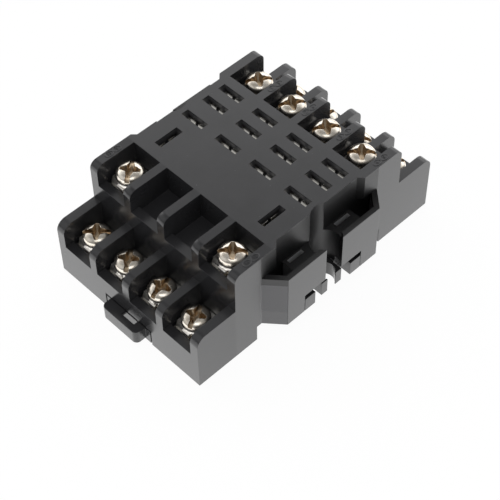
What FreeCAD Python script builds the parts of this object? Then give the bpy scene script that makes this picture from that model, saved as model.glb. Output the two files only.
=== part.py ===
import FreeCAD, Part

import os

import Sketcher

# A fourteen-way relay socket for a 35 mm rail: a moulded housing with two tiers of
# screw terminals at each end, contact slots in the deck between them, a bottom cover,
# and a latch that slides in the cover's front foot.
# X runs across the housing, Y from the latch end to the back, Z up from the base.
# Every sketch is drawn about the middle of the housing. The latch tab stands out at
# the front, so each piece is placed half the tab's reach towards +Y.

doc = FreeCAD.newDocument("relay_socket")
V = FreeCAD.Vector

# The screws, washers and tapped holes repeat fourteen times, so their round forms are
# prisms with this many sides.
ROUND_SIDES = 24

# Driving dimensions, in millimetres.
DIMENSIONS = [
    ("body_len", 68.4, "housing, end face to end face"),
    ("block_width", 42.4, "end blocks, side to side"),
    ("deck_width", 40.0, "deck between the end blocks"),
    ("narrow_len", 25.4, "length of the narrow middle at the blocks' sides"),
    ("deck_top", 25.4, "base to deck"),
    ("upper_len", 47.8, "upper tier, end to end"),
    ("low_wall_top", 15.0, "top of the lower tier's walls"),
    ("upper_round", 1.8, "rounding of the upper walls' outer corners"),
    ("lower_round", 2.4, "rounding of the lower walls' outer corners"),
    ("pole_pitch", 10.0, "spacing of the contact columns"),
    ("pit_width", 8.0, "terminal pit, wall to wall"),
    ("pit_gap", 27.4, "deck left between the upper pits of both ends"),
    ("upper_sill", 19.9, "height of the upper tier's sill"),
    ("lower_sill", 8.9, "height of the lower tier's sill"),
    ("sill_depth", 2.2, "sill, front to back"),
    ("plate_drop", 0.3, "terminal plate below the sill"),
    ("plate_thick", 0.9, "terminal plate"),
    ("plate_width", 6.8, "terminal plate, side to side"),
    ("screw_setback", 5.4, "screw axis behind its tier's end face"),
    ("slot_len", 6.1, "contact slot in the deck"),
    ("slot_wide", 1.85, "contact slot in the deck"),
    ("slot_skin", 1.2, "deck above the contact cells"),
    ("cell_wide", 2.6, "contact cell under its slot, narrow way"),
    ("row_near", -0.4, "contact row fed by the lower front terminals"),
    ("row_mid", 5.55, "contact row fed by the lower back terminals"),
    ("row_far", 10.27, "contact row fed by the upper back terminals"),
    ("row_coil", -7.7, "the two coil contacts"),
    ("pocket_span", 50.4, "over the side pockets' outer walls"),
    ("pocket_root", 33.4, "pockets' slanted walls, where they leave the blocks"),
    ("pocket_flat", 26.4, "pockets' outer walls, far corner to far corner"),
    ("rim_top", 18.9, "top of the pockets' walls"),
    ("rim_wall", 1.2, "pockets' walls"),
    ("shelf_drop", 1.8, "pocket shelf below the rim"),
    ("well_start", 9.8, "where the shelf drops into the well, from the middle"),
    ("well_depth", 6.0, "well below the shelf"),
    ("blade_slot_len", 4.1, "slot in the pocket shelf"),
    ("blade_slot_wide", 0.9, "slot in the pocket shelf"),
    ("blade_slot_y", 6.75, "slot centre from the middle"),
    ("blade_slot_x", 20.8, "slot centre from the middle"),
    ("blade_slot_depth", 5.0, "slot below the shelf"),
    ("fixing_x", 22.73, "fixing screw axis from the middle"),
    ("driver_bore", 6.8, "half-round way down to the fixing ear"),
    ("fixing_hole", 4.4, "hole in the fixing ear"),
    ("fixing_mouth", 2.4, "open side of the fixing hole"),
    ("ear_out", 24.8, "fixing ear's edge from the middle"),
    ("ear_half", 2.9, "half of the fixing ear's length"),
    ("ear_top", 8.1, "top of the fixing ear"),
    ("notch_top", 9.4, "raised lower edge of the pocket walls"),
    ("notch_half", 8.3, "half length of the raised lower edge"),
    ("hook_start", 5.2, "cover's corner hooks, from the middle"),
    ("hook_len", 3.0, "cover's corner hook"),
    ("hook_top", 8.0, "cover's corner hook"),
    ("wing_out", 22.4, "cover's edge between ear and hooks"),
    ("rail_roof", 4.3, "base to the face that rests on the rail"),
    ("rail_front", 18.0, "front edge of the rail channel, from the middle"),
    ("rail_back", 18.7, "back edge of the rail channel, from the middle"),
    ("rail_flange", 1.0, "thickness of the rail's edge"),
    ("nib_reach", 1.3, "rail nibs into the channel"),
    ("nib_gap", 0.3, "slack between a nib and the rail's edge"),
    ("nib_relief", 0.8, "recess in the roof above each nib, for the rail to rock in"),
    ("cover_thick", 1.6, "bottom cover"),
    ("cover_inset", 1.6, "housing wall beside the cover"),
    ("foot_floor", 1.4, "cover's floor under the feet"),
    ("seat_gap", 0.1, "slack between housing and cover"),
    ("latch_half", 6.7, "half width of the latch"),
    ("latch_top", 4.0, "top of the latch's slide"),
    ("latch_slack", 0.2, "gap round the latch"),
    ("latch_shoulder", 1.4, "latch's plate that closes the front opening"),
    ("tab_out", 2.7, "latch tab beyond the housing"),
    ("tab_half", 5.3, "half width of the latch tab"),
    ("tab_top", 4.4, "top of the latch tab"),
    ("tab_base", 0.9, "underside of the latch tab"),
    ("tab_wall", 1.0, "latch tab's top and rim"),
    ("tab_corner", 1.2, "latch tab's rounded corners"),
    ("pry_len", 3.7, "slot in the tab for a screwdriver"),
    ("pry_wide", 1.1, "slot in the tab for a screwdriver"),
    ("pry_x", 1.2, "slot in the tab, from the middle"),
    ("finger_len", 9.0, "latch's spring fingers"),
    ("finger_wide", 1.1, "latch's spring fingers"),
    ("finger_gap", 0.9, "slot beside each spring finger"),
    ("run_width", 4.6, "conductor between plate and contact"),
    ("run_slack", 0.2, "gap round the conductor"),
    ("low_run", 6.1, "underside of the lower conductors"),
    ("clip_width", 5.4, "contact, side to side"),
    ("clip_leaf", 0.4, "contact leaf"),
    ("clip_throat", 0.5, "gap between the contact's leaves"),
    ("clip_mouth", 1.3, "gap between the leaves' tips"),
    ("clip_flare", 1.2, "height of the flared tips"),
    ("clip_drop", 1.7, "leaf tips below the deck"),
    ("clip_slit", 0.8, "slit that splits each leaf into two fingers"),
    ("clip_slit_len", 6.0, "slit down the leaf"),
    ("coil_clip_base", 14.0, "bottom of the contacts on the upper tier"),
    ("shank_dia", 3.5, "terminal screw"),
    ("shank_len", 5.6, "terminal screw, under its head"),
    ("head_dia", 6.1, "terminal screw"),
    ("head_height", 2.2, "terminal screw"),
    ("head_rim", 1.2, "straight rim of the screw head"),
    ("slit_wide", 1.15, "straight slot in the screw head"),
    ("slit_depth", 1.1, "straight slot from the head's top"),
    ("tap_gap", 0.05, "thread gap at the screw's side"),
    ("clamp_width", 6.4, "clamp washer, side to side"),
    ("clamp_top", 1.6, "clamp washer's flat, above the plate"),
    ("clamp_thick", 0.7, "clamp washer"),
    ("clamp_flat", 4.4, "clamp washer's flat, front to back"),
    ("clamp_foot", 0.55, "length of each sloping foot"),
    ("collar_dia", 5.4, "round collar under the screw head"),
    ("collar_top", 2.4, "top of the collar above the plate"),
    ("clamp_hole", 3.9, "hole in the clamp washer"),
    ("tongue_half", 1.3, "half width of the washer's middle tongue"),
    ("tongue_gap", 0.5, "notch on each side of the tongue"),
    ("tongue_cut", 1.5, "length of those notches"),
]

sheet = doc.addObject("Spreadsheet::Sheet", "Dims")
for row, (word, number, meaning) in enumerate(DIMENSIONS, start=1):
    sheet.set("A%d" % row, meaning)
    sheet.set("B%d" % row, repr(number))
    sheet.setAlias("B%d" % row, word)
doc.recompute()


class Size:
    """A length and the sheet formula that gives it, carried side by side."""

    def __init__(self, value, text):
        self.value = value
        self.text = text

    def __add__(self, other):
        other = as_size(other)
        return Size(self.value + other.value, "(%s + %s)" % (self.text, other.text))

    def __sub__(self, other):
        other = as_size(other)
        return Size(self.value - other.value, "(%s - %s)" % (self.text, other.text))

    def __mul__(self, other):
        other = as_size(other)
        return Size(self.value * other.value, "(%s * %s)" % (self.text, other.text))

    def __truediv__(self, other):
        other = as_size(other)
        return Size(self.value / other.value, "(%s / %s)" % (self.text, other.text))

    def __radd__(self, other):
        return as_size(other) + self

    def __rsub__(self, other):
        return as_size(other) - self

    def __neg__(self):
        return as_size(0) - self


def as_size(item):
    if isinstance(item, Size):
        return item
    return Size(float(item), repr(float(item)))


class Sizes:
    """The sheet's cells as attributes, so that formulas read as plain sums."""

    def __init__(self, rows):
        for word, number, meaning in rows:
            setattr(self, word, Size(number, "Dims." + word))


s = Sizes(DIMENSIONS)

# Places that several pieces share, from the middle of the housing.
centre_y = s.tab_out / 2
end_y = s.body_len / 2
riser_y = s.upper_len / 2
pit_y = s.pit_gap / 2
block_x = s.block_width / 2
deck_x = s.deck_width / 2
pocket_x = s.pocket_span / 2
upper_screw_y = riser_y - s.screw_setback
lower_screw_y = end_y - s.screw_setback
upper_plate = s.upper_sill - s.plate_drop
lower_plate = s.lower_sill - s.plate_drop
shelf_z = s.rim_top - s.shelf_drop
cover_top = s.rail_roof + s.cover_thick
cover_half = deck_x - s.cover_inset
foot_end = end_y - s.cover_inset
nib_top = s.rail_roof - s.rail_flange - s.nib_gap
clip_top = s.deck_top - s.clip_drop
clip_half = s.clip_throat / 2 + s.clip_leaf
columns = [s.pole_pitch * step for step in (-1.5, -0.5, 0.5, 1.5)]
outer_columns = [columns[0], columns[3]]


def rect(x0, x1, y0, y1):
    return [(x0, y0), (x1, y0), (x1, y1), (x0, y1)]


def new_body(name):
    body = doc.addObject("PartDesign::Body", name)
    body.Label = name
    return body


def place(body, x=0, y=0, z=0):
    """Puts a piece in the part's frame, with the latch tab's reach allowed for."""
    for axis, length in (("x", x), ("y", centre_y + y), ("z", z)):
        body.setExpression("Placement.Base.%s" % axis, as_size(length).text)


def attach(body, item, plane, x, y, height):
    """Fixes a sketch or prism to one of the body's own planes, at a bound offset."""
    support = [part for part in body.Origin.OriginFeatures if part.Role == plane][0]
    item.AttachmentSupport = [(support, "")]
    item.MapMode = "FlatFace"
    shift = [as_size(length) for length in (x, y, height)]
    corner = V(shift[0].value, shift[1].value, shift[2].value)
    item.AttachmentOffset = FreeCAD.Placement(corner, FreeCAD.Rotation())
    for axis, length in zip("xyz", shift):
        item.setExpression("AttachmentOffset.Base.%s" % axis, length.text)


def new_sketch(body, name, plane, height=0):
    """An empty sketch on one of the body's own planes, lifted by a bound height."""
    sketch = body.newObject("Sketcher::SketchObject", body.Name + "_" + name)
    attach(body, sketch, plane, 0, 0, height)
    return sketch


def hold(sketch, curve, end, point):
    """Binds one point of a curve to its two distances from the sketch's origin."""
    for kind, length in (("DistanceX", point[0]), ("DistanceY", point[1])):
        rule = Sketcher.Constraint(kind, -1, 1, curve, end, length.value)
        index = sketch.addConstraint(rule)
        sketch.setExpression("Constraints[%d]" % index, length.text)


def outline(sketch, points):
    """A closed straight-sided outline, bound at every corner."""
    points = [(as_size(x), as_size(y)) for x, y in points]
    first = sketch.GeometryCount
    count = len(points)
    lines = []
    for here, there in zip(points, points[1:] + points[:1]):
        start = V(here[0].value, here[1].value, 0)
        stop = V(there[0].value, there[1].value, 0)
        lines.append(Part.LineSegment(start, stop))
    sketch.addGeometry(lines)
    joints = []
    for step in range(count):
        after = first + (step + 1) % count
        joints.append(Sketcher.Constraint("Coincident", first + step, 2, after, 1))
    sketch.addConstraint(joints)
    for step, point in enumerate(points):
        hold(sketch, first + step, 1, point)


def circle(sketch, x, y, radius):
    x = as_size(x)
    y = as_size(y)
    radius = as_size(radius)
    ring = Part.Circle(V(x.value, y.value, 0), V(0, 0, 1), radius.value)
    curve = sketch.addGeometry(ring)
    hold(sketch, curve, 3, (x, y))
    index = sketch.addConstraint(Sketcher.Constraint("Radius", curve, radius.value))
    sketch.setExpression("Constraints[%d]" % index, radius.text)


def pad(body, sketch, length, symmetric=False):
    feature = body.newObject("PartDesign::Pad", sketch.Name + "_pad")
    feature.Profile = sketch
    feature.Length = as_size(length).value
    feature.setExpression("Length", as_size(length).text)
    if symmetric:
        feature.SideType = "Symmetric"
    body.Tip = feature
    return feature


def pocket(body, sketch, depth):
    """Cuts down from a flat sketch."""
    feature = body.newObject("PartDesign::Pocket", sketch.Name + "_cut")
    feature.Profile = sketch
    feature.Length = as_size(depth).value
    feature.setExpression("Length", as_size(depth).text)
    feature.Reversed = False
    body.Tip = feature


def prism(body, kind, name, radius, bottom, top, y=0):
    """A round boss ("Additive") or hole ("Subtractive") with a set number of sides."""
    feature = body.newObject("PartDesign::%sPrism" % kind, body.Name + "_" + name)
    feature.Polygon = ROUND_SIDES
    for word, length in (("Circumradius", radius), ("Height", as_size(top) - bottom)):
        setattr(feature, word, as_size(length).value)
        feature.setExpression(word, as_size(length).text)
    attach(body, feature, "XY_Plane", 0, y, bottom)
    body.Tip = feature
    return feature


def cut_boxes(body, name, boxes, top, bottom):
    """One sketch of rectangles, cut from a top level down to a bottom level."""
    sketch = new_sketch(body, name, "XY_Plane", top)
    for box in boxes:
        outline(sketch, rect(*box))
    pocket(body, sketch, as_size(top) - bottom)


def add_boxes(body, name, boxes, bottom, top):
    """One sketch of rectangles, raised from a bottom level to a top level."""
    sketch = new_sketch(body, name, "XY_Plane", bottom)
    for box in boxes:
        outline(sketch, rect(*box))
    return pad(body, sketch, as_size(top) - bottom)


def edges_at(feature, test):
    """Names of the straight or round edges whose middle passes a test."""
    names = []
    for number, edge in enumerate(feature.Shape.Edges, start=1):
        if test(edge):
            names.append("Edge%d" % number)
    return names


def fillet(body, feature, names, radius):
    rounding = body.newObject("PartDesign::Fillet", feature.Name + "_round")
    rounding.Base = (feature, names)
    rounding.Radius = as_size(radius).value
    rounding.setExpression("Radius", as_size(radius).text)
    body.Tip = rounding
    return rounding


def chamfer(body, feature, names, size):
    bevel = body.newObject("PartDesign::Chamfer", feature.Name + "_bevel")
    bevel.Base = (feature, names)
    bevel.Size = as_size(size).value
    bevel.setExpression("Size", as_size(size).text)
    body.Tip = bevel


def near(number, size):
    return abs(number - as_size(size).value) < 0.01


def about(centre, length):
    """The two ends of a stretch of a given length about its centre."""
    half = as_size(length) / 2
    return as_size(centre) - half, as_size(centre) + half


def both_ends(back_boxes):
    """Boxes for the back end and, mirrored in Y, for the front end."""
    boxes = []
    for x0, x1, y0, y1 in back_boxes:
        boxes.append((x0, x1, y0, y1))
        boxes.append((x0, x1, -as_size(y1), -as_size(y0)))
    return boxes


def housing_profile():
    """Side view of the housing: two steps at each end, and the rail channel below."""
    return [
        (-end_y, 0), (-s.rail_front, 0), (-s.rail_front, s.rail_roof),
        (s.rail_back, s.rail_roof), (s.rail_back, 0), (end_y, 0),
        (end_y, s.low_wall_top), (riser_y, s.low_wall_top), (riser_y, s.deck_top),
        (-riser_y, s.deck_top), (-riser_y, s.low_wall_top), (-end_y, s.low_wall_top),
    ]


def make_housing():
    body = new_body("housing")
    place(body)
    side_view = new_sketch(body, "side_view", "YZ_Plane")
    outline(side_view, housing_profile())
    block = pad(body, side_view, s.block_width, symmetric=True)
    doc.recompute()

    # Rounded outer corners of both tiers, all the way across.
    for corner_y, corner_z, radius in (
        (riser_y, s.deck_top, s.upper_round), (end_y, s.low_wall_top, s.lower_round),
    ):
        def at_corner(edge):
            middle = edge.CenterOfMass
            return near(abs(middle.y), corner_y) and near(middle.z, corner_z)
        block = fillet(body, block, edges_at(block, at_corner), radius)
        doc.recompute()

    # The deck is narrower than the end blocks, with slanted steps between them.
    waist = new_sketch(body, "waist", "XY_Plane", s.deck_top)
    step = block_x - deck_x
    half = s.narrow_len / 2
    beyond = block_x + s.seat_gap
    for side in (1, -1):
        outline(waist, [
            (deck_x * side, step - half), (deck_x * side, half - step),
            (beyond * side, half + s.seat_gap), (beyond * side, -half - s.seat_gap),
        ])
    pocket(body, waist, s.deck_top - s.rail_roof)

    # Side pockets with slanted end walls.
    pockets = new_sketch(body, "pockets", "XY_Plane", s.rail_roof)
    root = s.pocket_root / 2
    flat = s.pocket_flat / 2
    for side in (1, -1):
        outline(pockets, [
            (deck_x * side, -root), (block_x * side, -root), (pocket_x * side, -flat),
            (pocket_x * side, flat), (block_x * side, root), (deck_x * side, root),
        ])
    pad(body, pockets, s.rim_top - s.rail_roof)

    # Shelves inside the pockets' walls, deeper wells at the slanted ends.
    slope = (block_x - pocket_x) / (flat - root)
    inner_x = pocket_x - s.rim_wall
    inner_flat = flat - s.rim_wall / 2
    inner_root = inner_flat + (inner_x - deck_x) / slope
    shelves = new_sketch(body, "shelves", "XY_Plane", s.rim_top)
    wells = new_sketch(body, "wells", "XY_Plane", shelf_z)
    for side in (1, -1):
        outline(shelves, [
            (deck_x * side, -inner_root), (inner_x * side, -inner_flat),
            (inner_x * side, inner_flat), (deck_x * side, inner_root),
        ])
        for way in (1, -1):
            outline(wells, [
                (deck_x * side, s.well_start * way), (inner_x * side, s.well_start * way),
                (inner_x * side, inner_flat * way), (deck_x * side, inner_root * way),
            ])
    pocket(body, shelves, s.shelf_drop)
    pocket(body, wells, s.well_depth)

    # Narrow slots in the shelves.
    slots = []
    for side in (1, -1):
        x0, x1 = about(s.blade_slot_x * side, s.blade_slot_wide)
        slots.append((x0, x1) + about(s.blade_slot_y, s.blade_slot_len))
    cut_boxes(body, "blade_slots", both_ends(slots), shelf_z, shelf_z - s.blade_slot_depth)

    # Raised lower edge of the pockets' walls, over the cover's hooks and ears.
    edges = []
    for side in (1, -1):
        low, high = sorted_pair(s.wing_out * side, (pocket_x + s.seat_gap) * side)
        edges.append((low, high, -s.notch_half, s.notch_half))
    cut_boxes(body, "raised_edges", edges, s.notch_top, s.rail_roof)

    # Half-round ways for a screwdriver, down to the fixing ears.
    ways = new_sketch(body, "driver_ways", "XY_Plane", s.deck_top)
    for side in (1, -1):
        circle(ways, s.fixing_x * side, 0, s.driver_bore / 2)
    pocket(body, ways, s.deck_top - s.ear_top - s.seat_gap)

    cut_cover_seat(body)
    cut_pits(body)
    cut_contact_ways(body)


def sorted_pair(a, b):
    return (a, b) if a.value < b.value else (b, a)


def cut_cover_seat(body):
    """Room for the bottom cover under the deck, in both feet and in the wings."""
    gap = s.seat_gap
    top = cover_top + gap
    wing = s.notch_half
    half = cover_half + gap
    reach = s.wing_out + gap
    front = -s.rail_front - s.cover_thick - gap
    back = s.rail_back + s.cover_thick + gap
    middle = new_sketch(body, "cover_seat", "XY_Plane", top)
    outline(middle, [
        (-half, front), (half, front), (half, -wing), (reach, -wing),
        (reach, wing), (half, wing), (half, back), (-half, back),
        (-half, wing), (-reach, wing), (-reach, -wing), (-half, -wing),
    ])
    pocket(body, middle, top)
    floors = [(-half, half, -foot_end, front), (-half, half, back, foot_end)]
    cut_boxes(body, "floor_seats", floors, s.foot_floor + gap, 0)
    room_x = s.latch_half + s.latch_slack + s.cover_thick + gap
    room = (-room_x, room_x, -foot_end, front)
    cut_boxes(body, "latch_room", [room], s.latch_top + s.latch_slack, s.foot_floor)
    recesses = []
    for side in (1, -1):
        recess_x = sorted_pair((deck_x - s.seat_gap) * side, (pocket_x + s.seat_gap) * side)
        recesses.append(recess_x + about(0, (s.ear_half + s.seat_gap) * 2))
    cut_boxes(body, "ear_recesses", recesses, s.ear_top + s.seat_gap, s.rail_roof)
    opening = s.latch_half + s.latch_slack + s.seat_gap
    ceiling = s.tab_top + s.seat_gap
    cut_boxes(body, "latch_opening", [(-opening, opening, -end_y, -foot_end)], ceiling, 0)


def pit_spans(chosen):
    return [about(x, s.pit_width) for x in chosen]


def cut_pits(body):
    """Terminal pits: open at the end above a sill, with the plates' seats behind it."""
    upper = []
    lower = []
    upper_seats = []
    lower_seats = []
    for x0, x1 in pit_spans(columns):
        upper.append((x0, x1, pit_y, riser_y))
        lower.append((x0, x1, riser_y, end_y))
        upper_seats.append((x0, x1, pit_y, riser_y - s.sill_depth))
        lower_seats.append((x0, x1, riser_y, end_y - s.sill_depth))
    cut_boxes(body, "upper_pits", both_ends(upper), s.deck_top, s.upper_sill)
    cut_boxes(body, "lower_pits", both_ends(lower), s.low_wall_top, s.lower_sill)
    low_seat = lower_plate - s.plate_thick
    high_seat = upper_plate - s.plate_thick
    cut_boxes(body, "lower_seats", both_ends(lower_seats), s.lower_sill, low_seat)
    cut_boxes(body, "upper_seats", both_ends(upper_seats), s.upper_sill, high_seat)

    # Square wells under the plates for the screws' ends.
    wide = s.shank_dia + s.run_slack * 2
    screw_end = s.collar_top - s.shank_len - s.run_slack
    for name, places, top, plate in (
        ("upper_wells", upper_terminals(), high_seat, upper_plate),
        ("lower_wells", lower_terminals(), low_seat, lower_plate),
    ):
        wells = []
        for x, y, toward in places:
            wells.append(about(x, wide) + about(y, wide))
        cut_boxes(body, name, wells, top, plate + screw_end)


def upper_terminals():
    """Screw axes of the upper tier: four at the back, the two outer ones in front."""
    places = [(x, upper_screw_y, -1) for x in columns]
    return places + [(x, -upper_screw_y, 1) for x in outer_columns]


def lower_terminals():
    places = [(x, lower_screw_y, -1) for x in columns]
    return places + [(x, -lower_screw_y, 1) for x in columns]


def cut_contact_ways(body):
    """Slots in the deck, cells under them, and the ways for the conductors."""
    rows = (s.row_near, s.row_mid, s.row_far)
    deck_slots = []
    deep_cells = []
    high_cells = []
    for x in columns:
        for row in rows:
            deck_slots.append(about(x, s.slot_len) + about(row, s.slot_wide))
            cell = about(x, s.slot_len) + about(row, s.cell_wide)
            if row is s.row_far:
                high_cells.append(cell)
            else:
                deep_cells.append(cell)
    for x in outer_columns:
        deck_slots.append(about(x, s.slot_wide) + about(s.row_coil, s.slot_len))
        high_cells.append(about(x, s.cell_wide) + about(s.row_coil, s.slot_len))
    cell_top = s.deck_top - s.slot_skin
    cut_boxes(body, "deck_slots", deck_slots, s.deck_top, cell_top)
    cut_boxes(body, "deep_cells", deep_cells, cell_top, cover_top)
    cut_boxes(body, "high_cells", high_cells, cell_top, s.coil_clip_base - s.run_slack)

    # Upper conductors pass through the pits' back walls at the plates' level.
    gap = s.run_slack
    width = s.run_width + gap * 2
    high_ways = []
    for x in columns:
        high_ways.append(about(x, width) + (s.row_far, pit_y))
    for x in outer_columns:
        high_ways.append(about(x, width) + (-pit_y, s.row_coil - s.slot_len / 2))
    top = upper_plate + gap
    cut_boxes(body, "high_ways", high_ways, top, upper_plate - s.plate_thick)

    # Lower conductors drop through the pits' floors and run along under the deck.
    low_ways = []
    drops = []
    tail = s.plate_thick + gap
    for x in columns:
        x0, x1 = about(x, width)
        low_ways.append((x0, x1, s.row_mid, riser_y + tail))
        low_ways.append((x0, x1, -riser_y - tail, s.row_near))
        drops.append((x0, x1, riser_y, riser_y + tail))
        drops.append((x0, x1, -riser_y - tail, -riser_y))
    run_top = s.low_run + s.plate_thick + gap
    cut_boxes(body, "low_ways", low_ways, run_top, cover_top)
    cut_boxes(body, "drops", drops, lower_plate - s.plate_thick, cover_top)


def cover_profile():
    """Side view of the cover: rail roof, the channel's end walls, floors of the feet."""
    fit = s.seat_gap
    wall = s.cover_thick
    front_wall = s.rail_front + wall
    back_wall = s.rail_back + wall
    end = foot_end - fit
    return [
        (-end, 0), (-s.rail_front, 0), (-s.rail_front, s.rail_roof),
        (s.rail_back, s.rail_roof), (s.rail_back, 0), (end, 0),
        (end, s.foot_floor), (back_wall, s.foot_floor), (back_wall, cover_top),
        (-front_wall, cover_top), (-front_wall, s.foot_floor), (-end, s.foot_floor),
    ]


def make_cover():
    body = new_body("bottom_cover")
    place(body)
    side_view = new_sketch(body, "side_view", "YZ_Plane")
    outline(side_view, cover_profile())
    pad(body, side_view, cover_half * 2, symmetric=True)

    # Wings in the middle, reaching out to the hooks and the fixing ears.
    wing = s.notch_half - s.seat_gap
    wings = []
    hook_feet = []
    hook_tips = []
    ears = []
    for side in (1, -1):
        wings.append(sorted_pair(cover_half * side, s.wing_out * side) + (-wing, wing))
        foot_x = sorted_pair((s.wing_out - s.cover_thick) * side, pocket_x * side)
        tip_x = sorted_pair((s.wing_out + s.seat_gap) * side, pocket_x * side)
        for way in (1, -1):
            hook_y = sorted_pair(s.hook_start * way, (s.hook_start + s.hook_len) * way)
            hook_feet.append(foot_x + hook_y)
            hook_tips.append(tip_x + hook_y)
        ears.append(sorted_pair(deck_x * side, s.ear_out * side) + (-s.ear_half, s.ear_half))
    add_boxes(body, "wings", wings, s.rail_roof, cover_top)
    add_boxes(body, "hook_feet", hook_feet, s.rail_roof, cover_top)
    add_boxes(body, "hook_tips", hook_tips, cover_top, s.hook_top)
    add_boxes(body, "ears", ears, s.rail_roof, s.ear_top)

    # Fixing holes, open to the side through a narrower mouth.
    holes = new_sketch(body, "fixing_holes", "XY_Plane", s.ear_top)
    mouths = new_sketch(body, "fixing_mouths", "XY_Plane", s.ear_top)
    for side in (1, -1):
        circle(holes, s.fixing_x * side, 0, s.fixing_hole / 2)
        mouth_x = sorted_pair(s.fixing_x * side, (s.ear_out + s.seat_gap) * side)
        outline(mouths, rect(*(mouth_x + about(0, s.fixing_mouth))))
    pocket(body, holes, s.ear_top - s.rail_roof)
    pocket(body, mouths, s.ear_top - s.rail_roof)

    # Fixed rail nib at the back, with a slanted lead-in below.
    nib = new_sketch(body, "fixed_nib", "YZ_Plane")
    outline(nib, [
        (s.rail_back, s.nib_reach / 2), (s.rail_back - s.nib_reach, s.nib_reach * 1.2),
        (s.rail_back - s.nib_reach, nib_top), (s.rail_back, nib_top),
    ])
    pad(body, nib, s.latch_half * 2, symmetric=True)

    # Recesses in the roof above the fixed nib and the latch's nib.
    relief_x = s.latch_half + s.latch_slack
    reach = s.nib_reach + s.nib_gap
    reliefs = [
        (-relief_x, relief_x, s.rail_back - reach, s.rail_back),
        (-relief_x, relief_x, -s.rail_front, reach - s.rail_front),
    ]
    cut_boxes(body, "reliefs", reliefs, s.rail_roof + s.nib_relief, s.rail_roof)

    # Way for the latch: open to the channel, to the front and above its foot plate.
    way = s.latch_half + s.latch_slack
    doorway = [(-way, way, -s.rail_front - s.cover_thick, -s.rail_front)]
    cut_boxes(body, "latch_way", doorway, s.latch_top + s.latch_slack, s.foot_floor)

    # Low guide ribs beside the latch.
    guides = []
    for side in (1, -1):
        rib = sorted_pair(way * side, (way + s.cover_thick) * side)
        guides.append(rib + (s.cover_thick - foot_end, -s.rail_front - s.cover_thick))
    add_boxes(body, "guides", guides, s.foot_floor, s.latch_top)


def make_latch():
    """Rail latch: tab, front shoulder, slide with two spring fingers, and a nib."""
    body = new_body("rail_latch")
    place(body)
    slide_base = s.foot_floor + s.latch_slack
    shoulder_back = s.latch_shoulder - end_y
    add_boxes(
        body, "slide", [(-s.latch_half, s.latch_half, -end_y, -s.rail_front - s.nib_gap)],
        slide_base, s.latch_top,
    )
    add_boxes(
        body, "shoulder", [(-s.latch_half, s.latch_half, -end_y, shoulder_back)],
        s.latch_slack, s.latch_top,
    )

    # The nib catches under the rail's front edge; its lower corner leads the rail in.
    nib_tip = s.nib_reach - s.rail_front
    nib_root = -s.rail_front - s.nib_gap
    nib = new_sketch(body, "nib", "YZ_Plane")
    outline(nib, [
        (nib_root, slide_base), (nib_tip - s.nib_reach / 2, slide_base),
        (nib_tip, (slide_base + nib_top) / 2), (nib_tip, nib_top), (nib_root, nib_top),
    ])
    pad(body, nib, (s.latch_half - s.finger_wide) * 2, symmetric=True)

    # Pull tab, hollow below, with rounded corners.
    tab_end = -end_y - s.tab_out
    tab = add_boxes(
        body, "tab", [(-s.tab_half, s.tab_half, tab_end, -end_y)], s.tab_base, s.tab_top,
    )
    doc.recompute()

    def tab_corner(edge):
        middle = edge.CenterOfMass
        upright = near(edge.BoundBox.ZLength, s.tab_top - s.tab_base)
        return upright and near(abs(middle.x), s.tab_half) and near(middle.y, tab_end)

    fillet(body, tab, edges_at(tab, tab_corner), s.tab_corner)
    hollow_x = s.tab_half - s.tab_wall
    hollow = (-hollow_x, hollow_x, tab_end + s.tab_wall, -end_y)
    cut_boxes(body, "tab_hollow", [hollow], s.tab_top - s.tab_wall, s.tab_base)
    pry_y = -end_y - s.pry_wide
    pry = about(s.pry_x, s.pry_len) + (pry_y, -end_y)
    cut_boxes(body, "pry_slot", [pry], s.tab_top, s.tab_top - s.tab_wall)

    # Slots that leave a springy finger along each side of the slide.
    slots = []
    for side in (1, -1):
        outer = s.latch_half - s.finger_wide
        slot_x = sorted_pair(outer * side, (outer - s.finger_gap) * side)
        slot_y = -s.rail_front - s.cover_thick * 2
        slots.append(slot_x + (slot_y - s.finger_len, slot_y))
    cut_boxes(body, "finger_slots", slots, s.latch_top, slide_base)


def clip_outline(base):
    """Both leaves and the bend of one contact, seen from its edge."""
    throat = s.clip_throat / 2
    mouth = s.clip_mouth / 2
    leaf = s.clip_leaf
    bend_top = base + leaf
    flare = clip_top - s.clip_flare
    return [
        (-clip_half, base), (clip_half, base), (clip_half, flare),
        (mouth + leaf, clip_top), (mouth, clip_top), (throat, flare), (throat, bend_top),
        (-throat, bend_top), (-throat, flare), (-mouth, clip_top),
        (-mouth - leaf, clip_top), (-clip_half, flare),
    ]


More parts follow.
